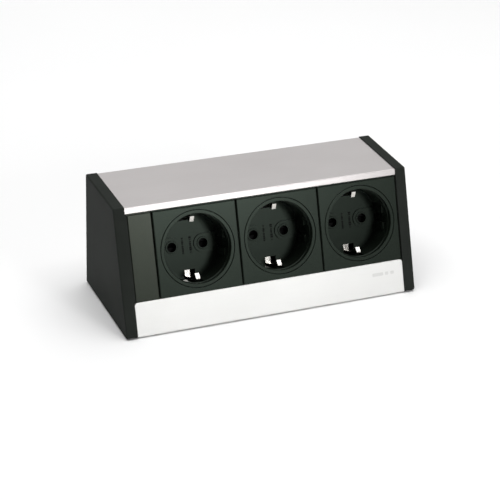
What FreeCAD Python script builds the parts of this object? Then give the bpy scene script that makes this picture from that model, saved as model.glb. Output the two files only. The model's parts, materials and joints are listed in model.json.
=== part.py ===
"""Desk power strip with three earthed round sockets in a wedge-shaped aluminium housing.

Millimetres. +X runs along the strip, -Y is the side that the user faces and +Z is up.
The origin is at the middle of the footprint, on the desk that the rubber feet stand on.
"""

import FreeCAD, Part
import math
import os

V = FreeCAD.Vector

# ---- driving dimensions ------------------------------------------------------------------
DEPTH = 73.3            # of an end cap, over its base
TOP_DEPTH = 48.6        # of an end cap, over its top
CAP_HEIGHT = 69.2
FOOT_HEIGHT = 0.7       # the rubber feet lift the housing by this
CAP_CLEARANCE = 0.5     # underside of the end caps above the desk
CAP_THICKNESS = 6.5
CAP_CORNER_R = 1.0
CAP_TOE_R = 1.5         # of the lower front corner
CAP_EDGE_R = 0.9
CAP_WALL = 2.0
CAP_RIM = 1.6           # width of the cap's rim, which meets the end of the extrusion
CAP_PROUD = 0.5         # the caps stand this far outside the extrusion
JAMB = 0.9              # the left cap covers this much of the row's end
JAMB_THICKNESS = 1.6

MODULE_WIDTH = 50.0
SOCKETS = 3
BLANK_WIDTH = 15.5
MODULE_GAP = 0.5
MODULE_SINK = 0.3       # the modules' faces lie this far behind the lip and the trim
PLATE_THICKNESS = 2.5
PLATE_HALF_HEIGHT = 25.7
PLATE_EDGE_R = 0.6
FACE_TOP = 24.15        # the face ends here and a thinner tongue runs on behind the lip
FACE_GAP = 0.15         # between the face and the top of the trim, where a lower tongue begins
TONGUE_STEP = 1.6

# heights along the sloping front, from its lower edge
LIP_LOW = 69.7
TRIM_TOP = 19.95
SOCKET_CENTRE = 44.75
LOWER_WALL_TOP = 18.85
LOWER_RIB_TOP = 20.85
UPPER_RIB_LOW = 69.05

WALL = 2.0              # of the extrusion
LIP_THICKNESS = 1.5
TRIM_THICKNESS = 1.2
TRIM_CORNER_R = 1.6
RIB = 1.5               # ribs behind the modules' plates
SCREW_BOSS_R = 3.4
UPPER_BOSS_DEPTH = 15.0         # of the upper front channel, behind the front plane
END_PLATE_THICKNESS = 1.5
END_SCREW_HEAD_R = 3.0
PEG_R = 1.9
FOOT_R = 5.5
SCREW_CHANNEL_R = 1.7
SCREW_CHANNEL_SLOT = 1.4

# one socket, measured from its centre on the face of its plate; depths run inwards
COLLAR_R = 23.7         # behind the plate, round the cup
COLLAR_DEPTH = 10.0
FLANGE_R = 21.95
FLANGE_THICKNESS = 1.5
FLANGE_GAP = 0.22       # round the flange in its seat
MOUTH_R = 19.75
MOUTH_ROUNDING = 0.35
MOUTH_LENGTH = 2.75
RECESS_R = 19.5
RECESS_DEPTH = 18.6
CUP_OUTER_R = 21.3
GUIDE_FLAT = 17.7       # half the distance over the two guide flats
GUIDE_START = 6.8
GUIDE_GROOVE = 5.8
PIN_OFFSET = 9.5
PIN_HOLE_R = 2.75
PIN_PAD_R = 5.4
PIN_PAD_HEIGHT = 0.75
PIN_COLLAR_R = 3.7
PIN_COLLAR_HEIGHT = 0.45        # above the pad
FLOOR_THICKNESS = 2.0
CHAMBER_DEPTH = 4.3     # room for the shutter behind the floor
PIVOT_R = 1.8
CLIP_SLOT = 6.8
CLIP_SLOT_START = 4.0
CLIP_SLOT_INNER = 14.2
CLIP_SLOT_OUTER = 20.3
CLIP_WIDTH = 3.2
CLIP_TIP_WIDTH = 2.4
CLIP_THICKNESS = 0.5
BASE_THICKNESS = 12.5
BASE_HALF_HEIGHT = 13.8
BASE_HALF_WIDTH = 21.0
SHUTTER_THICKNESS = 3.0
SHUTTER_GAP = 0.35
SHUTTER_R = 13.0
SHUTTER_HALF_ANGLE = 20.0
SPRING_R = 2.9
SPRING_WIRE_R = 0.22
SPRING_PITCH = 0.55
SPRING_TURNS = 3
SPRING_FRONT = 0.4      # below the front of the base
SOCKET_SCREW_XY = (18.6, 12.9)
SOCKET_SCREW_R = 1.2
SOCKET_BOSS_R = 2.4
LEG_Y = 18.3            # of the strap's legs behind the floor; the upper one runs straight back
LOWER_LEG_Y = 14.25     # the lower one is stepped in towards the base
LOWER_STEP_DEPTH = 22.8
EARTH_TAB_Y = -9.0
TAIL_LENGTH = 3.5       # of the wire tails behind a socket's base
TAIL_HALF_WIDTH = 1.1

WIRE_R = 1.4
SLEEVE_R = 1.7
INLET_X, INLET_Z = -66.8, 20.0
INLET_DEPTH = 16.0
INLET_FLANGE = 2.0
INLET_PINS = ((-7.0, -2.0), (0.0, 4.0), (7.0, -2.0))    # line, earth, neutral; y runs down
LINE, EARTH, NEUTRAL = 0, 1, 2
INLET_BODY = (13.4, 9.8)        # half width and half height of the part inside the wall
INLET_FLANGE_HALF = (15.3, 11.3)
INLET_HOLLOW = (12.1, 8.4)      # half width and half height
INLET_KEY = 4.0                 # chamfer on two of the hollow's corners
FIXING_PITCH = 120.0
FIXING_CORE_R = 1.65

# ---- places that follow from them ---------------------------------------------------------
INNER_LENGTH = BLANK_WIDTH + SOCKETS * MODULE_WIDTH
HALF_INNER = INNER_LENGTH / 2
SLOPE_RUN = DEPTH - TOP_DEPTH
SLOPE_LENGTH = math.hypot(SLOPE_RUN, CAP_HEIGHT)
UP = V(0, SLOPE_RUN / SLOPE_LENGTH, CAP_HEIGHT / SLOPE_LENGTH)      # up the sloping front
OUT = V(0, -CAP_HEIGHT / SLOPE_LENGTH, SLOPE_RUN / SLOPE_LENGTH)    # out of it
CORNER_HALF_ANGLE = math.atan2(CAP_HEIGHT, SLOPE_RUN) / 2
NOSE = CAP_TOE_R * (1 / math.tan(CORNER_HALF_ANGLE) - 1)             # what its rounding takes off the depth
OVERALL_DEPTH = DEPTH - NOSE - CAP_PROUD + INLET_FLANGE
FRONT_Y = -OVERALL_DEPTH / 2 - NOSE
REAR_Y = FRONT_Y + DEPTH
FOOT_LINE = V(0, FRONT_Y, CAP_CLEARANCE)                             # lower front edge of a cap
FACE_TILT = math.degrees(math.atan2(CAP_HEIGHT, SLOPE_RUN))
TOP = CAP_CLEARANCE + CAP_HEIGHT - CAP_PROUD
BACK = REAR_Y - CAP_PROUD
MODULE_DEPTH = CAP_PROUD + MODULE_SINK
FACE_BOTTOM = TRIM_TOP + FACE_GAP - SOCKET_CENTRE
BLANK_X = -HALF_INNER + BLANK_WIDTH / 2
SOCKET_X = [-HALF_INNER + BLANK_WIDTH + MODULE_WIDTH * (i + 0.5) for i in range(SOCKETS)]
FLOOR_BACK = RECESS_DEPTH + FLOOR_THICKNESS
BASE_FRONT = FLOOR_BACK + CHAMBER_DEPTH
BASE_BACK = BASE_FRONT + BASE_THICKNESS
BOND_X, BOND_Z = HALF_INNER - 20.0, 44.0


# ---- helpers ---------------------------------------------------------------------------------
def box(x, y, z):
    """A block from ranges such as (low, high) along each axis."""
    size = [high - low for low, high in (x, y, z)]
    return Part.makeBox(size[0], size[1], size[2], V(x[0], y[0], z[0]))


def rod(radius, low, high, x=0.0, y=0.0):
    """A cylinder along Z."""
    return Part.makeCylinder(radius, high - low, V(x, y, low))


def tube(inner, outer, low, high, x=0.0, y=0.0):
    return rod(outer, low, high, x, y).cut(rod(inner, low - 1, high + 1, x, y))


def join(*shapes):
    return shapes[0].multiFuse(list(shapes[1:])).removeSplitter()


def on_slope(s, out):
    """The point s up the sloping front and out beyond the caps' front plane, in the YZ plane."""
    return FOOT_LINE + UP * s + OUT * out


def slope_at_height(z, out):
    """The point of a plane parallel to the sloping front where it is z high."""
    start = on_slope(0, out)
    return start + UP * ((z - start.z) / UP.z)


def face_of(points, x):
    """A flat face in the plane at x, from YZ points."""
    corners = [V(x, p.y, p.z) for p in points]
    return Part.Face(Part.makePolygon(corners + corners[:1]))


def extrude_x(points, low, high):
    return face_of(points, low).extrude(V(high - low, 0, 0))


def edges_where(shape, test):
    return [e for e in shape.Edges if test(e)]


def runs_along_x(edge):
    a, b = edge.Vertexes[0].Point, edge.Vertexes[-1].Point
    return (a - b).Length > 0.1 and math.hypot(a.y - b.y, a.z - b.z) < 1e-6


def passes(edge, point):
    """Whether an edge along X lies on the line through the point."""
    start = edge.Vertexes[0].Point
    return runs_along_x(edge) and math.hypot(start.y - point.y, start.z - point.z) < 0.01


def all_at(edge, axis, value):
    return all(abs(getattr(v.Point, axis) - value) < 1e-4 for v in edge.Vertexes)


def on_face(shape, x=0.0):
    """Moves a shape from a module's own frame to its place: x along the strip, y up the slope, z out."""
    placed = shape.copy()
    turn = FreeCAD.Rotation(V(1, 0, 0), FACE_TILT)
    origin = on_slope(SOCKET_CENTRE, -MODULE_DEPTH) + V(x, 0, 0)
    placed.Placement = FreeCAD.Placement(origin, turn).multiply(placed.Placement)
    return placed


def revolved(profile):
    """A solid of revolution about Z, from (radius, z) points."""
    corners = [V(r, 0, z) for r, z in profile]
    return Part.Face(Part.makePolygon(corners + corners[:1])).revolve(V(0, 0, 0), V(0, 0, 1), 360)


def bent_tube(points, radius):
    """A round tube along straight runs joined by tangent arcs, each as large as its runs allow."""
    edges, start = [], points[0]
    for a, p, b in zip(points, points[1:], points[2:]):
        before, after = (a - p).normalize(), (b - p).normalize()
        turn = math.pi - before.getAngle(after)
        reach = 0.45 * min((a - p).Length, (b - p).Length)
        bend = reach / math.tan(turn / 2)
        enter, leave = p + before * reach, p + after * reach
        toward = (before + after).normalize()
        sagitta = math.hypot(reach, bend) - bend
        edges += [Part.LineSegment(start, enter).toShape(),
                  Part.Arc(enter, p + toward * sagitta, leave).toShape()]
        start = leave
    edges.append(Part.LineSegment(start, points[-1]).toShape())
    path = Part.Wire(edges)
    along = (points[1] - points[0]).normalize()
    section = Part.Wire(Part.Circle(points[0], along, radius).toShape())
    solid = path.makePipeShell([section], True, False)
    return solid


# ---- the housing -----------------------------------------------------------------------------
def cap_outline():
    top = CAP_CLEARANCE + CAP_HEIGHT
    return [on_slope(0, 0), V(0, REAR_Y, CAP_CLEARANCE), V(0, REAR_Y, top), on_slope(SLOPE_LENGTH, 0)]


def inset_face(amount, x):
    """The end cap's outline, moved inwards."""
    wire = Part.Wire(face_of(cap_outline(), x).OuterWire)
    return Part.Face(wire.makeOffset2D(-amount, 2))


def boss_places():
    """Where the end screws go: (y, z) of the four screw channels, one in each inner corner."""
    inset = WALL + 2.4
    low = CAP_CLEARANCE + CAP_PROUD + inset
    high = TOP - inset
    front = slope_at_height(low, -(CAP_PROUD + TRIM_THICKNESS + inset - 0.2))
    upper_front = slope_at_height(high, -UPPER_BOSS_DEPTH)
    return [(BACK - inset, high), (BACK - inset, low), (front.y, low), (upper_front.y, high)]


def housing_profile():
    """The extrusion: top with its front lip, back, base and lower front wall, grooves and screw channels."""
    low = FOOT_HEIGHT
    wall_out = -(CAP_PROUD + TRIM_THICKNESS)
    plate_back = -(MODULE_DEPTH + PLATE_THICKNESS)
    lip_back = -(CAP_PROUD + LIP_THICKNESS)
    inner_front = wall_out - WALL
    points = [
        on_slope(LIP_LOW, -CAP_PROUD), slope_at_height(TOP, -CAP_PROUD),
        V(0, BACK, TOP), V(0, BACK, low), slope_at_height(low, wall_out),
        on_slope(LOWER_WALL_TOP, wall_out), on_slope(LOWER_WALL_TOP, plate_back),
        on_slope(LOWER_RIB_TOP, plate_back), on_slope(LOWER_RIB_TOP, plate_back - RIB),
        on_slope(LOWER_WALL_TOP - WALL, plate_back - RIB), on_slope(LOWER_WALL_TOP - WALL, inner_front),
        slope_at_height(low + WALL, inner_front),
        V(0, BACK - WALL, low + WALL), V(0, BACK - WALL, TOP - WALL),
        slope_at_height(TOP - WALL, plate_back - RIB), on_slope(UPPER_RIB_LOW, plate_back - RIB),
        on_slope(UPPER_RIB_LOW, plate_back), on_slope(SOCKET_CENTRE + PLATE_HALF_HEIGHT + 0.3, plate_back),
        on_slope(SOCKET_CENTRE + PLATE_HALF_HEIGHT + 0.3, lip_back), on_slope(LIP_LOW, lip_back),
    ]
    solid = extrude_x(points, -HALF_INNER, HALF_INNER)
    crest = [slope_at_height(TOP, -CAP_PROUD), V(0, BACK, TOP), V(0, BACK, low)]
    solid = solid.makeFillet(0.5, edges_where(solid, lambda e: any(passes(e, p) for p in crest)))
    lip = on_slope(LIP_LOW, -CAP_PROUD)
    solid = solid.makeFillet(0.3, edges_where(solid, lambda e: passes(e, lip)))
    envelope = inset_face(CAP_PROUD + 0.1, -HALF_INNER).extrude(V(INNER_LENGTH, 0, 0))
    along = V(1, 0, 0)
    for y, z in boss_places():
        boss = Part.makeCylinder(SCREW_BOSS_R, INNER_LENGTH, V(-HALF_INNER, y, z), along)
        solid = solid.fuse(boss.common(envelope))
    for y, z in boss_places():
        start = V(-HALF_INNER - 1, y, z)
        solid = solid.cut(Part.makeCylinder(SCREW_CHANNEL_R, INNER_LENGTH + 2, start, along))
        inward = (V(start.x, 8, 36) - start).normalize()
        side = V(0, -inward.z, inward.y) * (SCREW_CHANNEL_SLOT / 2)
        end = start + inward * (2 * SCREW_BOSS_R)
        corners = [start + side, end + side, end - side, start - side]
        solid = solid.cut(extrude_x(corners, -HALF_INNER - 1, HALF_INNER + 1))
    solid = solid.removeSplitter()
    half_x, half_z = INLET_BODY[0] + 0.15, INLET_BODY[1] + 0.15
    window = box((INLET_X - half_x, INLET_X + half_x), (BACK - WALL - 1, BACK + 1),
                 (INLET_Z - half_z, INLET_Z + half_z))
    solid = solid.cut(window)
    for x in (-FIXING_PITCH / 2, FIXING_PITCH / 2):
        solid = solid.cut(rod(3.0, low - 1, low + WALL + 1, x, 0))
    bond = Part.makeCylinder(1.6, 4 * WALL, V(BOND_X, BACK - 2 * WALL, BOND_Z), V(0, 1, 0))
    return solid.cut(bond)


def front_trim():
    """The bright strip over the lower front wall, with rounded upper corners and a soft lower edge."""
    half = HALF_INNER - 0.1
    low = slope_at_height(FOOT_HEIGHT, -CAP_PROUD)
    start = (low - on_slope(0, -CAP_PROUD)).dot(UP) + 0.1
    blank = box((-half, half), (start, TRIM_TOP), (-TRIM_THICKNESS, 0))
    upper = edges_where(blank, lambda e: all_at(e, "y", TRIM_TOP) and not runs_along_x(e))
    blank = blank.makeFillet(TRIM_CORNER_R, upper)
    rim = edges_where(blank, lambda e: all_at(e, "z", 0) and not all_at(e, "y", start))
    blank = blank.makeFillet(0.3, rim)
    lower = edges_where(blank, lambda e: all_at(e, "z", 0) and all_at(e, "y", start))
    blank = blank.makeFillet(0.8, lower)
    blank.Placement = FreeCAD.Placement(on_slope(0, -CAP_PROUD), FreeCAD.Rotation(V(1, 0, 0), FACE_TILT))
    return blank


def end_cap(side):
    """A moulded shell, open towards the housing, with four pegs that snap into the end plate."""
    solid = face_of(cap_outline(), HALF_INNER).extrude(V(CAP_THICKNESS, 0, 0))
    upper = edges_where(solid, lambda e: runs_along_x(e) and not passes(e, FOOT_LINE))
    solid = solid.makeFillet(CAP_CORNER_R, upper)
    solid = solid.makeFillet(CAP_TOE_R, edges_where(solid, lambda e: passes(e, FOOT_LINE)))
    outer = HALF_INNER + CAP_THICKNESS
    solid = solid.makeFillet(CAP_EDGE_R, edges_where(solid, lambda e: all_at(e, "x", outer)))
    pocket = inset_face(CAP_RIM, HALF_INNER - 1).extrude(V(1 + CAP_THICKNESS - CAP_WALL, 0, 0))
    solid = solid.cut(pocket)
    for y, z in peg_places():
        peg = Part.makeCylinder(PEG_R, CAP_THICKNESS - CAP_WALL + 0.2, V(HALF_INNER + 0.2, y, z), V(1, 0, 0))
        solid = solid.fuse(peg)
    for z in (18.0, 34.0, 50.0):
        rib = box((HALF_INNER + 3.6, outer - CAP_WALL + 0.2), (-4.0, 24.0), (z - 0.6, z + 0.6))
        solid = solid.fuse(rib)
    solid = solid.removeSplitter()
    return solid if side > 0 else mirrored(solid).fuse(jamb()).removeSplitter()


def jamb():
    """Narrow strip of the left cap beside the blank cover, between the trim and the lip."""
    heights = (TRIM_TOP + FACE_GAP, LIP_LOW - FACE_GAP)
    strip = box((-HALF_INNER - 1, -HALF_INNER + JAMB), heights, (-JAMB_THICKNESS, 0))
    strip.Placement = FreeCAD.Placement(on_slope(0, 0), FreeCAD.Rotation(V(1, 0, 0), FACE_TILT))
    return strip


def mirrored(solid):
    return solid.mirror(V(0, 0, 0), V(1, 0, 0))


def peg_places():
    return [(26.0, 50.0), (26.0, 20.0), (-16.0, 12.0), (-2.0, 56.0)]


def end_plate(side):
    """A zinc-plated steel plate, screwed to the extrusion's four channels; the cap snaps onto it."""
    solid = inset_face(CAP_RIM + 0.2, HALF_INNER).extrude(V(END_PLATE_THICKNESS, 0, 0))
    for y, z in boss_places():
        solid = solid.cut(Part.makeCylinder(2.05, 4, V(HALF_INNER - 1, y, z), V(1, 0, 0)))
    for y, z in peg_places():
        solid = solid.cut(Part.makeCylinder(PEG_R + 0.1, 4, V(HALF_INNER - 1, y, z), V(1, 0, 0)))
    for y, z, r in ((10.0, 56.0, 3.0), (10.0, 12.0, 3.0)):
        solid = solid.cut(Part.makeCylinder(r, 4, V(HALF_INNER - 1, y, z), V(1, 0, 0)))
    return solid if side > 0 else mirrored(solid)


def cross_recess(depth, width, arm):
    """A cross for a screwdriver, cut downwards from z = 0."""
    cut = box((-arm, arm), (-width / 2, width / 2), (-depth, 0.5))
    return cut.fuse(box((-width / 2, width / 2), (-arm, arm), (-depth, 0.5)))


def pan_screw(head_r, head_h, shank_r, length):
    """Pan-head screw along -Z with the underside of its head at z = 0 and a cross recess."""
    head = rod(head_r, 0, head_h)
    head = head.makeFillet(head_h * 0.6, edges_where(head, lambda e: all_at(e, "z", head_h)))
    head = head.cut(cross_recess(head_h * 0.55, head_r * 0.3, head_r * 0.62).translated(V(0, 0, head_h)))
    shank = rod(shank_r, -length + 1.2, 0)
    tip = Part.makeCone(shank_r * 0.35, shank_r, 1.2, V(0, 0, -length))
    solid = join(head, shank, tip)
    return solid


def end_screws(side):
    """Four screws that hold one end plate."""
    screws = []
    for y, z in boss_places():
        screw = pan_screw(END_SCREW_HEAD_R, 2.1, SCREW_CHANNEL_R - 0.02, 13)
        seat = V(HALF_INNER + END_PLATE_THICKNESS, y, z)
        screw.Placement = FreeCAD.Placement(seat, FreeCAD.Rotation(V(0, 1, 0), 90))
        screws.append(screw if side > 0 else mirrored(screw))
    return Part.makeCompound(screws)


def rubber_feet():
    feet = []
    for x in (-HALF_INNER + 12, HALF_INNER - 12):
        for y in (FRONT_Y + 14, REAR_Y - 12):
            foot = rod(FOOT_R, 0, FOOT_HEIGHT, x, y)
            feet.append(foot.makeChamfer(0.25, edges_where(foot, lambda e: all_at(e, "z", 0))))
    return Part.makeCompound(feet)


def fixing_inserts():
    """Two M4 press-in nuts in the base, for screws that come up through the desk top."""
    nuts = []
    for x in (-FIXING_PITCH / 2, FIXING_PITCH / 2):
        floor = FOOT_HEIGHT + WALL
        nut = join(rod(2.98, FOOT_HEIGHT, floor, x, 0), rod(4.2, floor, floor + 4.0, x, 0))
        nut = nut.cut(rod(FIXING_CORE_R, 0, floor + 6, x, 0))
        nuts.append(nut)
    return Part.makeCompound(nuts)


# ---- the power inlet at the back ------------------------------------------------------------
def inlet_place(shape):
    """Moves a shape from the inlet's frame (z out of the back wall) to its place."""
    placed = shape.copy()
    turn = FreeCAD.Rotation(V(1, 0, 0), -90)
    placed.Placement = FreeCAD.Placement(V(INLET_X, BACK, INLET_Z), turn).multiply(placed.Placement)
    return placed


def rounded_block(half_x, half_y, low, high, radius):
    block = box((-half_x, half_x), (-half_y, half_y), (low, high))
    upright = edges_where(block, lambda e: abs(e.Vertexes[0].Point.z - e.Vertexes[-1].Point.z) > 0.01)
    return block.makeFillet(radius, upright)


def inlet_body():
    """Three-pole snap-in inlet: a flange on the back wall and a shroud that reaches into the housing."""
    flange = rounded_block(INLET_FLANGE_HALF[0], INLET_FLANGE_HALF[1], 0, INLET_FLANGE, 2.5)
    flange = flange.makeFillet(0.6, edges_where(flange, lambda e: all_at(e, "z", INLET_FLANGE)))
    body = join(flange, rounded_block(INLET_BODY[0], INLET_BODY[1], -INLET_DEPTH, 0.5, 1.5))
    half_x, half_y = INLET_HOLLOW
    hollow = box((-half_x, half_x), (-half_y, half_y), (1.5 - INLET_DEPTH, INLET_FLANGE + 1))
    keyed = edges_where(hollow, lambda e: all_at(e, "y", -half_y) and not runs_along_x(e))
    body = body.cut(hollow.makeChamfer(INLET_KEY, keyed))
    for x, y in INLET_PINS:
        body = body.cut(box((x - 1.0, x + 1.0), (y - 2.0, y + 2.0), (-INLET_DEPTH - 1, 2.5 - INLET_DEPTH)))
    for x in (-INLET_BODY[0], INLET_BODY[0]):
        latch = box((x - 0.6, x + 0.6), (-3.0, 3.0), (-6.5, -WALL - 0.2))
        body = body.fuse(latch)
    return inlet_place(body.removeSplitter())


def inlet_pins():
    """Line, earth and neutral blades, each with a narrow tail inside the housing."""
    pins = []
    for x, y in INLET_PINS:
        blade = box((x - 1.0, x + 1.0), (y - 2.0, y + 2.0), (-INLET_DEPTH, -2.5))
        blade = blade.makeChamfer(0.6, edges_where(blade, lambda e: all_at(e, "z", -2.5)))
        tail = box((x - 0.4, x + 0.4), (y - TAIL_HALF_WIDTH, y + TAIL_HALF_WIDTH),
                   (-INLET_DEPTH - TAIL_LENGTH, 1 - INLET_DEPTH))
        pins.append(join(blade, tail))
    return inlet_place(Part.makeCompound(pins))


# ---- modules ----------------------------------------------------------------------------------
def plate(width):
    """A module's plate with softened front edges; its upper and lower edges slide in the grooves."""
    half = width / 2
    block = box((-half, half), (FACE_BOTTOM, FACE_TOP), (-PLATE_THICKNESS, 0))
    rim = edges_where(block, lambda e: all_at(e, "z", 0) and not all_at(e, "y", FACE_BOTTOM))
    block = block.makeFillet(PLATE_EDGE_R, rim)
    tongues = box((-half, half), (-PLATE_HALF_HEIGHT, PLATE_HALF_HEIGHT), (-PLATE_THICKNESS, -TONGUE_STEP))
    return block.fuse(tongues).removeSplitter()


def blank_cover():
    """Narrow blank plate at the left end, with two stiffening ribs behind."""
    solid = plate(BLANK_WIDTH - JAMB - MODULE_GAP)
    for x in (-5.0, 5.0):
        solid = solid.fuse(box((x - 0.6, x + 0.6), (-20, 20), (-6.0, -PLATE_THICKNESS + 0.1)))
    return on_face(solid.removeSplitter(), BLANK_X + JAMB / 2)


def socket_plate():
    """Square plate with a seat for the insert's flange and a collar behind it."""
    solid = plate(MODULE_WIDTH - MODULE_GAP)
    collar = rod(COLLAR_R, -COLLAR_DEPTH, -PLATE_THICKNESS + 0.1)
    solid = solid.fuse(collar)
    solid = solid.cut(rod(FLANGE_R + FLANGE_GAP, -FLANGE_THICKNESS, 1))
    solid = solid.cut(rod(CUP_OUTER_R + 0.15, -COLLAR_DEPTH - 1, 1))
    for y in (-22.6, 22.6):
        stiffener = box((-20, 20), (y - 0.7, y + 0.7), (-5.5, -PLATE_THICKNESS + 0.1))
        solid = solid.fuse(stiffener.cut(rod(COLLAR_R - 0.7, -COLLAR_DEPTH - 1, 1)))
    return solid.removeSplitter()


def insert_cup():
    """Flange, round recess wall, guide flats with their grooves, and slots for the earth clips."""
    profile = [
        (MOUTH_R, -MOUTH_ROUNDING), (MOUTH_R + 0.3 * MOUTH_ROUNDING, -0.3 * MOUTH_ROUNDING),
        (MOUTH_R + MOUTH_ROUNDING, 0), (FLANGE_R - 0.3, 0), (FLANGE_R, -0.3),
        (FLANGE_R, -FLANGE_THICKNESS), (CUP_OUTER_R, -FLANGE_THICKNESS), (CUP_OUTER_R, -RECESS_DEPTH),
        (RECESS_R, -RECESS_DEPTH), (RECESS_R, -MOUTH_LENGTH - 0.2), (MOUTH_R, -MOUTH_LENGTH),
    ]
    solid = revolved(profile)
    guides = rod(RECESS_R + 0.5, -RECESS_DEPTH, -GUIDE_START)
    guides = guides.cut(box((-GUIDE_FLAT, GUIDE_FLAT), (-30, 30), (-30, 1)))
    guides = guides.cut(box((-30, 30), (-GUIDE_GROOVE / 2, GUIDE_GROOVE / 2), (-30, 1)))
    solid = solid.fuse(guides).removeSplitter()
    half = CLIP_SLOT / 2
    for low, high in ((CLIP_SLOT_INNER, CLIP_SLOT_OUTER), (-CLIP_SLOT_OUTER, -CLIP_SLOT_INNER)):
        solid = solid.cut(box((-half, half), (low, high), (-RECESS_DEPTH - 1, -CLIP_SLOT_START)))
    inside = rod(RECESS_R + 0.8, -30, 0)
    for x, y in screw_places():
        solid = solid.fuse(rod(SOCKET_BOSS_R, -RECESS_DEPTH, -10.6, x, y).cut(inside))
        solid = solid.cut(rod(SOCKET_SCREW_R, -RECESS_DEPTH - 1, -11.5, x, y))
    return solid.removeSplitter()


def screw_places():
    x, y = SOCKET_SCREW_XY
    return [(x, y), (-x, -y)]


def keyhole_pad(sign):
    """Raised pad round a pin hole, which runs out to the wall."""
    outline = rod(PIN_PAD_R, -RECESS_DEPTH - 0.1, -RECESS_DEPTH + PIN_PAD_HEIGHT, sign * PIN_OFFSET)
    reach = sorted((sign * PIN_OFFSET, sign * (GUIDE_FLAT - 0.1)))
    tail = box(reach, (-PIN_PAD_R, PIN_PAD_R), (-RECESS_DEPTH - 0.1, -RECESS_DEPTH + PIN_PAD_HEIGHT))
    return outline.fuse(tail).common(rod(RECESS_R - 0.1, -30, 0)).removeSplitter()


def pin_plate():
    """Floor of the recess with the two pin holes, the shutter's chamber wall and its pivot post."""
    solid = rod(CUP_OUTER_R, -FLOOR_BACK, -RECESS_DEPTH)
    solid = solid.fuse(tube(18.0, CUP_OUTER_R, -BASE_FRONT, -FLOOR_BACK + 0.1))
    solid = solid.fuse(rod(PIVOT_R, -BASE_FRONT - 2.2, -FLOOR_BACK + 0.1))
    pad_top = PIN_PAD_HEIGHT - RECESS_DEPTH
    collar_top = pad_top + PIN_COLLAR_HEIGHT
    for sign in (1, -1):
        collar = rod(PIN_COLLAR_R, -RECESS_DEPTH, collar_top, sign * PIN_OFFSET)
        collar = collar.makeFillet(0.25, edges_where(collar, lambda e: all_at(e, "z", collar_top)))
        solid = solid.fuse(keyhole_pad(sign)).fuse(collar)
        solid = solid.cut(rod(PIN_HOLE_R, -30, 0, sign * PIN_OFFSET))
    half = CLIP_SLOT / 2
    for low, high in ((CLIP_SLOT_INNER, CLIP_SLOT_OUTER), (-CLIP_SLOT_OUTER, -CLIP_SLOT_INNER)):
        solid = solid.cut(box((-half, half), (low, high), (-30, 0)))
    inside = rod(18.5, -30, 0)
    for x, y in screw_places():
        solid = solid.fuse(rod(SOCKET_BOSS_R, -BASE_FRONT, -RECESS_DEPTH, x, y).cut(inside))
        solid = solid.cut(rod(SOCKET_SCREW_R + 0.15, -30, 0, x, y))
    return solid.removeSplitter()


def wing(angle):
    """One wing of the shutter, centred on the given angle, with a ramp that the pin's tip pushes on."""
    front = -(FLOOR_BACK + SHUTTER_GAP)
    back = front - SHUTTER_THICKNESS
    half = math.radians(SHUTTER_HALF_ANGLE)
    centre = math.radians(angle)
    low, high = centre - half, centre + half

    def at(radius, a):
        return V(radius * math.cos(a), radius * math.sin(a), back)

    edges = [
        Part.LineSegment(at(3.0, low), at(SHUTTER_R, low)).toShape(),
        Part.Arc(at(SHUTTER_R, low), at(SHUTTER_R, centre), at(SHUTTER_R, high)).toShape(),
        Part.LineSegment(at(SHUTTER_R, high), at(3.0, high)).toShape(),
        Part.Arc(at(3.0, high), at(3.0, centre), at(3.0, low)).toShape(),
    ]
    solid = Part.Face(Part.Wire(edges)).extrude(V(0, 0, SHUTTER_THICKNESS))
    ramp = box((5.5, 14), (-6, 0), (0, 4))
    ramp.Placement = FreeCAD.Placement(V(0, 0, front - 1.6), FreeCAD.Rotation(V(1, 0, 0), -22))
    about_post = FreeCAD.Placement(V(0, 0, 0), FreeCAD.Rotation(V(0, 0, 1), angle))
    ramp.Placement = about_post.multiply(ramp.Placement)
    return solid.cut(ramp)


def shutter():
    """Two-winged rotary shutter on the pivot post; its wings close both pin holes at rest."""
    front = -(FLOOR_BACK + SHUTTER_GAP)
    back = front - SHUTTER_THICKNESS
    solid = join(rod(4.2, back, front), wing(0), wing(180))
    solid = solid.cut(rod(SPRING_WIRE_R + 0.15, back - 1, back + 1.5, SPRING_R))
    return solid.cut(rod(PIVOT_R + 0.1, -30, 0)).removeSplitter()


def shutter_spring():
    """Torsion spring round the pivot post: one leg in the shutter, the other in the base."""
    length = SPRING_PITCH * SPRING_TURNS
    front = -BASE_FRONT - SPRING_FRONT
    rear = front - length
    coil = Part.makeHelix(SPRING_PITCH, length, SPRING_R)
    section = Part.Wire(Part.Circle(V(SPRING_R, 0, 0), V(0, 1, 0), SPRING_WIRE_R).toShape())
    solid = Part.Wire(coil).makePipeShell([section], True, False).translated(V(0, 0, rear))
    forward = rod(SPRING_WIRE_R, front, -FLOOR_BACK - SHUTTER_GAP - SHUTTER_THICKNESS + 1.2, SPRING_R)
    outward = Part.makeCylinder(SPRING_WIRE_R, 1.7, V(SPRING_R, 0, rear), V(1, 0, 0))
    return solid.fuse(forward).fuse(outward).removeSplitter()


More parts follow.
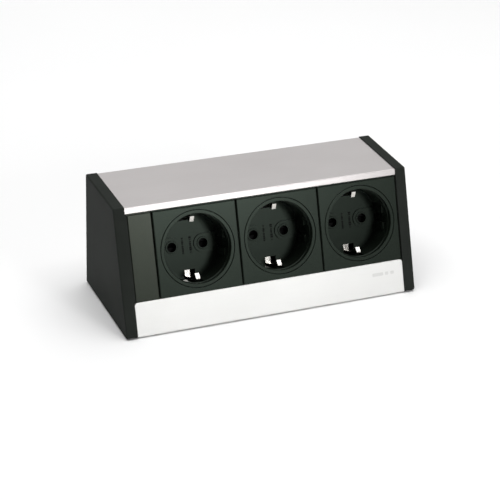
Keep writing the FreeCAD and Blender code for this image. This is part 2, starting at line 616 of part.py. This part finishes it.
def contact_base():
    """Rear body of a socket, which carries the contacts behind the pin holes."""
    solid = rounded_block(BASE_HALF_WIDTH, BASE_HALF_HEIGHT, -BASE_BACK, -BASE_FRONT, 2.5)
    solid = solid.makeFillet(0.8, edges_where(solid, lambda e: all_at(e, "z", -BASE_BACK)))
    for x, y in screw_places():
        solid = solid.fuse(rod(SOCKET_BOSS_R + 0.2, -BASE_BACK, -BASE_FRONT, x, y))
    for x, y in screw_places():
        solid = solid.cut(rod(SOCKET_SCREW_R + 0.15, -BASE_BACK - 1, -BASE_FRONT + 1, x, y))
    for x in (-PIN_OFFSET, PIN_OFFSET):
        solid = solid.cut(rod(3.2, -BASE_FRONT - 3, -BASE_FRONT + 1, x))
        solid = solid.cut(box((x - 3.6, x + 3.6), (-5.2, 5.2), (-BASE_BACK + 1.5, -BASE_FRONT - 2)))
        slot = TAIL_HALF_WIDTH + 0.3
        solid = solid.cut(box((x - slot, x + slot), (-0.7, 0.7), (-BASE_BACK - 1, -BASE_BACK + 2)))
    solid = solid.cut(rod(4.0, -BASE_FRONT - 2.6, -BASE_FRONT + 1))
    solid = solid.cut(box((3.5, 5.0), (-0.4, 0.4), (-BASE_FRONT - 2.6, -BASE_FRONT + 1)))
    return solid.removeSplitter()


def socket_screws():
    """Two long thin screws from behind, through base and floor into the cup."""
    screws = []
    for x, y in screw_places():
        screw = pan_screw(2.3, 1.6, SOCKET_SCREW_R - 0.02, BASE_BACK - 12.0)
        screws.append(screw.mirror(V(0, 0, 0), V(0, 0, 1)).translated(V(x, y, -BASE_BACK)))
    return Part.makeCompound(screws)


def strip_along(points, width, thickness):
    """Sheet-metal strip of constant thickness that follows points in the local YZ plane."""
    left, right = [], []
    for i, (y, z) in enumerate(points):
        before = V(0, y - points[i - 1][0], z - points[i - 1][1]).normalize() if i else None
        after = None
        if i < len(points) - 1:
            after = V(0, points[i + 1][0] - y, points[i + 1][1] - z).normalize()
        a, b = before or after, after or before
        normal_a, normal_b = V(0, -a.z, a.y), V(0, -b.z, b.y)
        mean = (normal_a + normal_b).normalize()
        reach = thickness / 2 / mean.dot(normal_a)
        left.append(V(0, y, z) + mean * reach)
        right.append(V(0, y, z) - mean * reach)
    return face_of(left + right[::-1], -width / 2).extrude(V(width, 0, 0))


def clip_path():
    """(y, z) of the upper earth clip's centreline, from its tip behind the mouth to its leg."""
    return [(17.9, -4.95), (17.3, -5.1), (15.0, -6.5), (15.05, -7.7), (17.8, -12.0), (LEG_Y, -16.5)]


def earth_bracket():
    """One bent strap: the two earth clips in the recess, joined behind the base, with a wire tail."""
    behind = -BASE_BACK - 0.35
    legs = [(LEG_Y, behind), (-LOWER_LEG_Y, behind), (-LOWER_LEG_Y, -LOWER_STEP_DEPTH),
            (-LEG_Y, -LOWER_STEP_DEPTH)]
    lower = [(-y, z) for y, z in reversed(clip_path())]
    strap = strip_along(clip_path() + legs + lower, CLIP_WIDTH, CLIP_THICKNESS)
    waist, tip = CLIP_WIDTH / 2, CLIP_TIP_WIDTH / 2
    for side in (1, -1):
        corners = [V(side * tip, -30, 0), V(side * tip, -30, -8.8), V(side * waist, -30, -13),
                   V(side * 5, -30, -13), V(side * 5, -30, 0)]
        trim = Part.Face(Part.makePolygon(corners + corners[:1])).extrude(V(0, 60, 0))
        strap = strap.cut(trim)
    tab = box((-TAIL_HALF_WIDTH, TAIL_HALF_WIDTH), (EARTH_TAB_Y - 0.4, EARTH_TAB_Y + 0.4),
              (-BASE_BACK - 0.35 - TAIL_LENGTH, -BASE_BACK - 0.2))
    return strap.fuse(tab).removeSplitter()


def pin_contact(sign):
    """Two sprung leaves that grip a plug pin, on a foot with a tail through the base."""
    x = sign * PIN_OFFSET
    foot_z = -BASE_BACK + 1.6
    half_tail = TAIL_HALF_WIDTH
    front = -BASE_FRONT - 2.3
    leaf = [(4.3, foot_z), (4.4, foot_z + 3.0), (2.75, front - 2.2), (3.7, front)]
    parts = [box((x - 3.0, x + 3.0), (-4.6, 4.6), (foot_z, foot_z + 0.7)),
             strip_along(leaf, 6.0, 0.6).translated(V(x, 0, 0)),
             strip_along([(-y, z) for y, z in leaf], 6.0, 0.6).translated(V(x, 0, 0)),
             box((x - half_tail, x + half_tail), (-0.4, 0.4), (-BASE_BACK - TAIL_LENGTH, foot_z + 0.3))]
    return join(*parts)


# ---- wiring --------------------------------------------------------------------------------
def row_point(x, local_y, local_z):
    """A point given in a socket's frame, in the part's own frame."""
    return on_slope(SOCKET_CENTRE, -MODULE_DEPTH) + V(x, 0, 0) + UP * local_y + OUT * local_z


def sleeve(end, axis):
    """Crimp sleeve over a tail; the axis points away from the tail's root."""
    return Part.makeCylinder(SLEEVE_R, 4.2, end - axis * 3.0, axis)


def inlet_tail(pole):
    x, y = INLET_PINS[pole]
    return V(INLET_X + x, BACK - INLET_DEPTH - TAIL_LENGTH, INLET_Z - y)


def wiring(pole, offset, local_y, bow, feed_bow, spare=None):
    """One pole's conductor: from the inlet through the sleeves on every socket's tail, in loose bows."""
    sockets = [row_point(x + offset, local_y, -BASE_BACK - TAIL_LENGTH) for x in SOCKET_X]
    pieces = [sleeve(inlet_tail(pole), V(0, -1, 0))] + [sleeve(end, -OUT) for end in sockets]
    stops = [inlet_tail(pole)] + sockets
    for i, (start, end) in enumerate(zip(stops, stops[1:])):
        middle = (start + end) * 0.5 + (bow if i else feed_bow)
        pieces.append(bent_tube([start, middle, end], WIRE_R))
    if spare:
        pieces.append(bent_tube([sockets[-1]] + spare, WIRE_R))
    return join(*pieces)


def bond_wire_run():
    """From the last socket's earth tail down and up again into the ring terminal's barrel."""
    return [V(BOND_X - 1.0, BACK - 10.0, 13.0), V(BOND_X, BACK - WALL - 1.9, BOND_Z - 13.0)]


def bond_terminal():
    """Ring terminal and screw that earth the extrusion, at the right end of the back wall."""
    x, z = BOND_X, BOND_Z
    ring = Part.makeCylinder(3.6, 0.8, V(x, BACK - WALL - 0.8, z), V(0, 1, 0))
    ring = ring.fuse(box((x - 1.8, x + 1.8), (BACK - WALL - 0.8, BACK - WALL), (z - 10, z)))
    barrel = Part.makeCylinder(1.9, 5.0, V(x, BACK - WALL - 1.9, z - 14.0), V(0, 0, 1))
    ring = ring.fuse(barrel)
    return ring.cut(Part.makeCylinder(1.6, 4, V(x, BACK - WALL - 2, z), V(0, 1, 0))).removeSplitter()


def bond_screw():
    screw = pan_screw(2.9, 2.0, 1.58, 2.7)
    x, z = BOND_X, BOND_Z
    screw.Placement = FreeCAD.Placement(V(x, BACK - WALL - 0.8, z), FreeCAD.Rotation(V(1, 0, 0), 90))
    return screw


# ---- output ---------------------------------------------------------------------------------
def write(name, shape):
    solids = shape.Solids
    kept = solids[0] if len(solids) == 1 else Part.makeCompound(solids)
    bad = [s for s in solids if not s.isValid() or s.Volume <= 0]
    box_now = kept.BoundBox
    print("%-26s %d solid(s) %9.1f mm3  x %.1f..%.1f y %.1f..%.1f z %.2f..%.2f%s" % (
        name, len(solids), kept.Volume, box_now.XMin, box_now.XMax, box_now.YMin, box_now.YMax,
        box_now.ZMin, box_now.ZMax, "  INVALID" if bad or not solids else ""))
    kept.exportStep("parts/%s.step" % name)


def main():
    os.makedirs("parts", exist_ok=True)
    write("housing_profile", housing_profile())
    write("front_trim", front_trim())
    for side, name in ((-1, "left"), (1, "right")):
        write(name + "_end_cap", end_cap(side))
        write(name + "_end_plate", end_plate(side))
        write(name + "_end_screws", end_screws(side))
    write("rubber_feet", rubber_feet())
    write("fixing_inserts", fixing_inserts())
    write("inlet_body", inlet_body())
    write("inlet_pins", inlet_pins())
    write("blank_cover", blank_cover())
    socket = {
        "plate": socket_plate(), "cup": insert_cup(), "floor": pin_plate(), "shutter": shutter(),
        "shutter_spring": shutter_spring(), "base": contact_base(), "earth_bracket": earth_bracket(),
        "line_contact": pin_contact(-1), "neutral_contact": pin_contact(1), "screws": socket_screws(),
    }
    for i, x in enumerate(SOCKET_X):
        for name, shape in socket.items():
            write("socket_%d_%s" % (i + 1, name), on_face(shape, x))
    tails = [on_face(socket[name], x) for x in SOCKET_X
             for name in ("line_contact", "neutral_contact", "earth_bracket")]
    fixed = Part.makeCompound(tails + [inlet_pins(), bond_terminal()])
    line = wiring(LINE, -PIN_OFFSET, 0.0, UP * 8 - OUT * 8, V(0, -1, 5))
    neutral = wiring(NEUTRAL, PIN_OFFSET, 0.0, -OUT * 12, V(3, 1.5, -4.5))
    earth = wiring(EARTH, 0.0, EARTH_TAB_Y, -OUT * 11 - UP * 4, V(0, -2, -4), bond_wire_run())
    for name, run in (("line_wires", line), ("neutral_wires", neutral), ("earth_wires", earth)):
        write(name, run.cut(fixed))
    write("bond_terminal", bond_terminal())
    write("bond_screw", bond_screw())


main()
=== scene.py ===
"""Looks of the desk power strip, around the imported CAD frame. Metres, +X along the strip, +Z up."""

import json
import math
import random

import bmesh
import bpy
from mathutils import Matrix, Vector

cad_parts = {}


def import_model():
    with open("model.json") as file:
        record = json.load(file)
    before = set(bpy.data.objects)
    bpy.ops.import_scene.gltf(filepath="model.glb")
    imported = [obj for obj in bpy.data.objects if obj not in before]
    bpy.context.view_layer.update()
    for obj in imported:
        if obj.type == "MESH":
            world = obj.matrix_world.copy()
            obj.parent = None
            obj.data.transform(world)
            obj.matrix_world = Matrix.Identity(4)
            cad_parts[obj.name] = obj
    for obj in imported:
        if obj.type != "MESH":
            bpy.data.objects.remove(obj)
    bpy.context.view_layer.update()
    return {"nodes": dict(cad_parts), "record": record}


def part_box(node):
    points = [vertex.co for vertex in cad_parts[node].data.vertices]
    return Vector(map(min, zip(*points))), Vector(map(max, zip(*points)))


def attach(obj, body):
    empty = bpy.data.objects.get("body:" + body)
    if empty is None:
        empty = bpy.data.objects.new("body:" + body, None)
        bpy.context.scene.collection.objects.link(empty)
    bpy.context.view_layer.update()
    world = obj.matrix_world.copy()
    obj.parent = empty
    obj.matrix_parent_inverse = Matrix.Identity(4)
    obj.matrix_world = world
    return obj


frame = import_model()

MM = 0.001
BODY = "strip"

# the sloping front, as in the CAD model
DEPTH, TOP_DEPTH, CAP_HEIGHT = 73.3 * MM, 48.6 * MM, 69.2 * MM
FOOT_LINE = Vector((0, -37.714 * MM, 0.5 * MM))     # where the caps' front plane meets their base
SLOPE = math.atan2(CAP_HEIGHT, DEPTH - TOP_DEPTH)
SOCKET_CENTRE = 44.75 * MM                          # up the slope
MODULE_DEPTH = 0.8 * MM                             # behind the caps' front plane
TRIM_DEPTH = 0.5 * MM
RECESS_DEPTH = 18.6 * MM
SOCKETS = (1, 2, 3)
SOCKET_X = [sum(corner[0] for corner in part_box("socket_%d_cup" % n)) / 2 for n in SOCKETS]

# marks
FLOOR_MARK_COLUMNS = (-2.6, 2.1)                    # mm from a socket's middle
FLOOR_MARK_SPAN = (-4.7, 4.2)
FLOOR_MARK_LENGTHS = (0.5, 0.7, 0.9)                # mm, up the slope
FLOOR_MARK_WIDTHS = (1.1, 1.35, 1.5)
FLOOR_MARK_GAPS = (0.3, 0.4, 0.8)
FLOOR_MARK_SEED = 7
FLOOR_MARK_HEIGHT = 0.1 * MM
FLOOR_MARK_CORNER = 0.15 * MM
TRIM_MARK_PLACE = (13.2 * MM, 70.5 * MM)            # up the slope, along the strip
TRIM_MARK_BARS = ((-4.2, 7.0), (1.4, 2.2), (5.0, 2.2))      # mm: middle, length
TRIM_MARK_WIDTH = 1.9 * MM                          # up the slope
TRIM_MARK_HEIGHT = 0.03 * MM
TRIM_MARK_CORNER = 0.5 * MM

# studio
FLOOR_HALF_SIZE = 3.0
WORLD_STRENGTH = 0.1
CAMERA_PLACE = (-0.3671, -0.83933, 0.4983)
CAMERA_ANGLES = (23.56, 27.39, 2.29)                # yaw, pitch and roll in degrees
CAMERA_LENS, CAMERA_SENSOR = 127.94, 36             # mm
LIGHTS = (                                          # name, place, target, size in metres, watts
    ("key", (0.253, -0.838, 0.37), (0.01, -0.023, 0.04), (0.2, 0.2), 2.2),
    ("top", (0.0, 0.1, 1.5), (0, 0, 0), (2.2, 1.6), 30),
    ("back", (0.5, 1.6, 1.0), (0, 0, 0.05), (1.8, 1.0), 5),
)


def on_front(s, x=0.0, depth=0.0):
    """Frame on the sloping front: x along the strip, y up the slope, z out of it."""
    turn = Matrix.Rotation(SLOPE, 4, "X")
    foot = Matrix.Translation(FOOT_LINE + Vector((x, 0, 0)))
    return foot @ turn @ Matrix.Translation((0, s, -depth))


# ---- materials --------------------------------------------------------------------------
class Nodes:
    """Builds one node material; every piece of it works in the object's own coordinates."""

    def __init__(self, name):
        self.material = bpy.data.materials.new(name)
        self.material.use_nodes = True
        self.tree = self.material.node_tree
        self.shader = self.tree.nodes["Principled BSDF"]
        self.place = self.tree.nodes.new("ShaderNodeTexCoord").outputs["Object"]
        self.normal = None

    def link(self, a, b):
        self.tree.links.new(a, b)

    def noise(self, scale, detail=3.0, rough=0.55, stretch=(1, 1, 1)):
        mapping = self.tree.nodes.new("ShaderNodeMapping")
        mapping.inputs["Scale"].default_value = stretch
        noise = self.tree.nodes.new("ShaderNodeTexNoise")
        noise.inputs["Scale"].default_value = scale
        noise.inputs["Detail"].default_value = detail
        noise.inputs["Roughness"].default_value = rough
        self.link(self.place, mapping.inputs["Vector"])
        self.link(mapping.outputs["Vector"], noise.inputs["Vector"])
        return noise.outputs["Fac"]

    def spread(self, value, low, high, start=0.3, end=0.7):
        ranged = self.tree.nodes.new("ShaderNodeMapRange")
        ranged.inputs["From Min"].default_value = start
        ranged.inputs["From Max"].default_value = end
        ranged.inputs["To Min"].default_value = low
        ranged.inputs["To Max"].default_value = high
        self.link(value, ranged.inputs["Value"])
        return ranged.outputs["Result"]

    def mix(self, factor, a, b):
        mix = self.tree.nodes.new("ShaderNodeMix")
        mix.data_type = "RGBA"
        mix.inputs[6].default_value = (*a, 1)
        mix.inputs[7].default_value = (*b, 1)
        self.link(factor, mix.inputs[0])
        return mix.outputs[2]

    def bump(self, height, distance):
        bump = self.tree.nodes.new("ShaderNodeBump")
        bump.inputs["Distance"].default_value = distance
        bump.inputs["Strength"].default_value = 1.0
        self.link(height, bump.inputs["Height"])
        if self.normal is not None:
            self.link(self.normal, bump.inputs["Normal"])
        self.normal = bump.outputs["Normal"]

    def soft_edges(self, radius):
        bevel = self.tree.nodes.new("ShaderNodeBevel")
        bevel.samples = 4
        bevel.inputs["Radius"].default_value = radius
        self.normal = bevel.outputs["Normal"]

    def finish(self, colour, roughness, **sockets):
        self.link(colour, self.shader.inputs["Base Color"])
        self.link(roughness, self.shader.inputs["Roughness"])
        if self.normal is not None:
            self.link(self.normal, self.shader.inputs["Normal"])
        for name, value in sockets.items():
            self.shader.inputs[name.replace("_", " ")].default_value = value
        return self.material


def plastic(name, dark, light, grain, grain_depth, roughness, specular, tint=(1, 1, 1)):
    """Moulded plastic: spark-eroded grain, faint cloudiness, slightly worn sheen."""
    m = Nodes(name)
    m.soft_edges(0.12 * MM)
    fine = m.noise(grain, 2.0, 0.6)
    cloud = m.noise(60, 3.0)
    m.bump(fine, grain_depth)
    colour = m.mix(m.spread(cloud, 0.0, 1.0), dark, light)
    rough = m.spread(fine, roughness - 0.05, roughness + 0.07)
    return m.finish(colour, rough, Specular_IOR_Level=specular, Specular_Tint=(*tint, 1))


def drawn_aluminium(name, dark, light, roughness, streak=0.012 * MM):
    """Anodised extrusion: fine lines along X from the die, a satin grain, faint cloudiness."""
    m = Nodes(name)
    m.soft_edges(0.1 * MM)
    lines = m.noise(1, 2.0, 0.5, (60, 5200, 5200))
    grain = m.noise(5200, 1.0)
    m.bump(lines, streak)
    m.bump(grain, streak * 0.6)
    cloud = m.noise(26, 3.0, 0.5, (0.5, 1, 1))
    colour = m.mix(m.spread(cloud, 0.0, 1.0, 0.25, 0.75), dark, light)
    rough = m.spread(lines, roughness - 0.04, roughness + 0.05)
    return m.finish(colour, rough, Metallic=1.0)


def plated(name, dark, light, roughness, scratch=0.006 * MM):
    """Plated sheet metal or wire, with fine rolling marks and small blotches."""
    m = Nodes(name)
    m.soft_edges(0.06 * MM)
    marks = m.noise(1, 2.0, 0.6, (900, 900, 6000))
    m.bump(marks, scratch)
    blotch = m.noise(420, 3.0)
    colour = m.mix(m.spread(blotch, 0.0, 1.0), dark, light)
    rough = m.spread(blotch, roughness - 0.06, roughness + 0.08)
    return m.finish(colour, rough, Metallic=1.0)


def insulation(name, dark, light):
    """Smooth soft insulation with faint cloudiness."""
    m = Nodes(name)
    fine = m.noise(1500, 2.0)
    m.bump(fine, 0.01 * MM)
    colour = m.mix(m.spread(m.noise(200), 0.0, 1.0), dark, light)
    return m.finish(colour, m.spread(fine, 0.3, 0.42))


def striped_insulation(name, green, yellow):
    """Green insulation with yellow bands."""
    m = Nodes(name)
    wave = m.tree.nodes.new("ShaderNodeTexWave")
    wave.bands_direction = "Z"
    wave.inputs["Scale"].default_value = 110
    wave.inputs["Distortion"].default_value = 0.6
    m.link(m.place, wave.inputs["Vector"])
    m.bump(m.noise(1500, 2.0), 0.01 * MM)
    colour = m.mix(m.spread(wave.outputs["Fac"], 0.0, 1.0, 0.45, 0.55), green, yellow)
    return m.finish(colour, m.spread(m.noise(300), 0.3, 0.42))


GREENISH = (0.8, 1.0, 0.84)     # tints of the plastics' sheen
OLIVE = (0.9, 1.0, 0.84)

MATERIALS = {
    "anodised_aluminium": drawn_aluminium(
        "anodised_aluminium", (0.53, 0.505, 0.50), (0.585, 0.56, 0.555), 0.36),
    "bright_anodised_aluminium": drawn_aluminium(
        "bright_anodised_aluminium", (0.77, 0.77, 0.755), (0.82, 0.82, 0.805), 0.5),
    "cap_plastic": plastic(
        "cap_plastic", (0.021, 0.0235, 0.021), (0.025, 0.0275, 0.025), 2600, 0.035 * MM,
        0.52, 0.025, GREENISH),
    "module_plastic": plastic(
        "module_plastic", (0.0045, 0.0065, 0.0045), (0.0065, 0.009, 0.0065), 3400, 0.008 * MM,
        0.31, 0.29, GREENISH),
    "inlet_plastic": plastic(
        "inlet_plastic", (0.010, 0.010, 0.011), (0.014, 0.014, 0.015), 3000, 0.02 * MM, 0.5, 0.4),
    # painted shade: the shutters are coloured near black, darker than the other black plastics, so the
    # pin holes stay black where the lamps reach into them
    "shutter_plastic": plastic(
        "shutter_plastic", (0.0025, 0.0025, 0.0025), (0.004, 0.004, 0.004), 3000, 0.01 * MM, 0.6, 0.1),
    "base_plastic": plastic(
        "base_plastic", (0.52, 0.51, 0.46), (0.58, 0.57, 0.53), 2600, 0.02 * MM, 0.45, 0.5),
    "nickel_plate": plated("nickel_plate", (0.62, 0.60, 0.56), (0.78, 0.76, 0.72), 0.24),
    "contact_brass": plated("contact_brass", (0.62, 0.42, 0.17), (0.76, 0.56, 0.28), 0.28),
    "tinned_copper": plated("tinned_copper", (0.58, 0.56, 0.52), (0.70, 0.68, 0.65), 0.36),
    "zinc_steel": plated("zinc_steel", (0.50, 0.52, 0.54), (0.66, 0.67, 0.68), 0.34),
    "spring_steel": plated("spring_steel", (0.38, 0.38, 0.40), (0.52, 0.52, 0.54), 0.3),
    "black_rubber": plastic(
        "black_rubber", (0.012, 0.012, 0.012), (0.02, 0.02, 0.02), 1800, 0.06 * MM, 0.78, 0.3),
    "brown_insulation": insulation("brown_insulation", (0.11, 0.04, 0.015), (0.15, 0.055, 0.022)),
    "blue_insulation": insulation("blue_insulation", (0.02, 0.09, 0.34), (0.03, 0.13, 0.42)),
    "green_yellow_insulation": striped_insulation(
        "green_yellow_insulation", (0.03, 0.26, 0.05), (0.66, 0.55, 0.03)),
}

# the recess floors and the blank cover come from other moulds, one duller and one glossier
FLOOR_PLASTIC = plastic(
    "floor_plastic", (0.0045, 0.0065, 0.0045), (0.0065, 0.009, 0.0065), 3000, 0.008 * MM,
    0.33, 0.24, GREENISH)
BLANK_PLASTIC = plastic(
    "blank_plastic", (0.0055, 0.0075, 0.005), (0.0075, 0.010, 0.007), 3400, 0.008 * MM, 0.31, 0.4, OLIVE)
OTHER_MOULDS = {"socket_%d_floor" % n: FLOOR_PLASTIC for n in SOCKETS}
OTHER_MOULDS["blank_cover"] = BLANK_PLASTIC

for part in frame["record"]["subparts"]:
    obj = frame["nodes"][part["node"]]
    obj.data.materials.clear()
    obj.data.materials.append(OTHER_MOULDS.get(part["node"], MATERIALS[part["material_slot"]]))


# ---- marks ----------------------------------------------------------------------------------
def bars(name, rows, thickness, corner, place, material):
    """Low raised bars with rounded corners; rows hold (x, y, width, height) about the place's origin."""
    mesh = bmesh.new()
    for x, y, width, height in rows:
        half_x, half_y = width / 2, height / 2
        r = min(corner, half_x - 1e-6, half_y - 1e-6)
        outline = []
        for cx, cy, start in ((1, 1, 0), (-1, 1, 90), (-1, -1, 180), (1, -1, 270)):
            for step in range(5):
                a = math.radians(start + 22.5 * step)
                outline.append((cx * (half_x - r) + r * math.cos(a), cy * (half_y - r) + r * math.sin(a)))
        rings = []
        for z, inset in ((-0.02 * MM, 0.0), (thickness * 0.6, 0.0), (thickness, thickness * 0.4)):
            sx, sy = (half_x - inset) / half_x, (half_y - inset) / half_y
            rings.append([mesh.verts.new((x + px * sx, y + py * sy, z)) for px, py in outline])
        count = len(outline)
        for low, high in zip(rings, rings[1:]):
            for i in range(count):
                mesh.faces.new((low[i], low[(i + 1) % count], high[(i + 1) % count], high[i]))
        mesh.faces.new(rings[-1])
        mesh.faces.new(rings[0][::-1])
    data = bpy.data.meshes.new(name)
    mesh.transform(place)
    mesh.to_mesh(data)
    mesh.free()
    data.materials.append(material)
    obj = bpy.data.objects.new(name, data)
    bpy.context.collection.objects.link(obj)
    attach(obj, BODY)


def floor_marks(seed):
    """Two columns of short dashes between the pin holes, where a rating would stand."""
    dice = random.Random(seed)
    rows = []
    for x in FLOOR_MARK_COLUMNS:
        y, end = FLOOR_MARK_SPAN
        while y < end:
            length = dice.choice(FLOOR_MARK_LENGTHS)
            width = dice.choice(FLOOR_MARK_WIDTHS)
            rows.append((x * MM, (y + length / 2) * MM, width * MM, length * MM))
            y += length + dice.choice(FLOOR_MARK_GAPS)
    return rows


def trim_mark():
    """A plain row of bars at the right of the trim: one long, two short."""
    return [(middle * MM, 0, length * MM, TRIM_MARK_WIDTH) for middle, length in TRIM_MARK_BARS]


for number, x in zip(SOCKETS, SOCKET_X):
    bars("socket_%d_floor_marks" % number, floor_marks(FLOOR_MARK_SEED), FLOOR_MARK_HEIGHT,
         FLOOR_MARK_CORNER, on_front(SOCKET_CENTRE, x, MODULE_DEPTH + RECESS_DEPTH),
         MATERIALS["shutter_plastic"])

MARK_PRINT = drawn_aluminium("mark_print", (0.66, 0.66, 0.645), (0.70, 0.70, 0.685), 0.5)
bars("trim_mark", trim_mark(), TRIM_MARK_HEIGHT, TRIM_MARK_CORNER, on_front(*TRIM_MARK_PLACE, TRIM_DEPTH),
     MARK_PRINT)


# ---- floor, light, camera ---------------------------------------------------------------
def floor():
    """Plain pale floor, which is no piece of the part."""
    mesh = bmesh.new()
    bmesh.ops.create_grid(mesh, x_segments=1, y_segments=1, size=FLOOR_HALF_SIZE)
    data = bpy.data.meshes.new("floor")
    mesh.to_mesh(data)
    mesh.free()
    m = Nodes("floor_paint")
    m.bump(m.noise(900, 3.0), 0.02 * MM)
    colour = m.mix(m.spread(m.noise(3, 2.0), 0.0, 1.0), (0.93, 0.93, 0.93), (0.95, 0.95, 0.95))
    data.materials.append(m.finish(colour, m.spread(m.noise(900), 0.7, 0.8), Specular_IOR_Level=0.2))
    obj = bpy.data.objects.new("floor", data)
    bpy.context.collection.objects.link(obj)


def area_light(name, place, target, size, power):
    """Soft rectangular lamp at a place, turned towards its target."""
    data = bpy.data.lights.new(name, "AREA")
    data.shape = "RECTANGLE"
    data.size, data.size_y = size
    data.energy = power
    obj = bpy.data.objects.new(name, data)
    obj.location = place
    obj.rotation_euler = (Vector(target) - Vector(place)).to_track_quat("-Z", "Y").to_euler()
    bpy.context.collection.objects.link(obj)


def world():
    """Weak even light from all round."""
    w = bpy.data.worlds.new("studio")
    w.use_nodes = True
    background = w.node_tree.nodes["Background"]
    background.inputs["Color"].default_value = (1.0, 1.0, 1.0, 1)
    background.inputs["Strength"].default_value = WORLD_STRENGTH
    bpy.context.scene.world = w


def camera():
    """Seen from the front left and above, turned a little about its own axis."""
    yaw, pitch, roll = (math.radians(a) for a in CAMERA_ANGLES)
    flat = math.cos(pitch)
    forward = Vector((math.sin(yaw) * flat, math.cos(yaw) * flat, -math.sin(pitch)))
    right = Vector((math.cos(yaw), -math.sin(yaw), 0))
    up = right.cross(forward)
    level = right
    right = level * math.cos(roll) + up * math.sin(roll)
    up = up * math.cos(roll) - level * math.sin(roll)
    data = bpy.data.cameras.new("camera")
    data.sensor_width = CAMERA_SENSOR
    data.lens = CAMERA_LENS
    obj = bpy.data.objects.new("camera", data)
    turn = Matrix((right, up, -forward)).transposed().to_4x4()
    obj.matrix_world = Matrix.Translation(CAMERA_PLACE) @ turn
    bpy.context.collection.objects.link(obj)
    bpy.context.scene.camera = obj


floor()
world()
camera()
for light in LIGHTS:
    area_light(*light)
bpy.context.scene.view_settings.view_transform = "Standard"
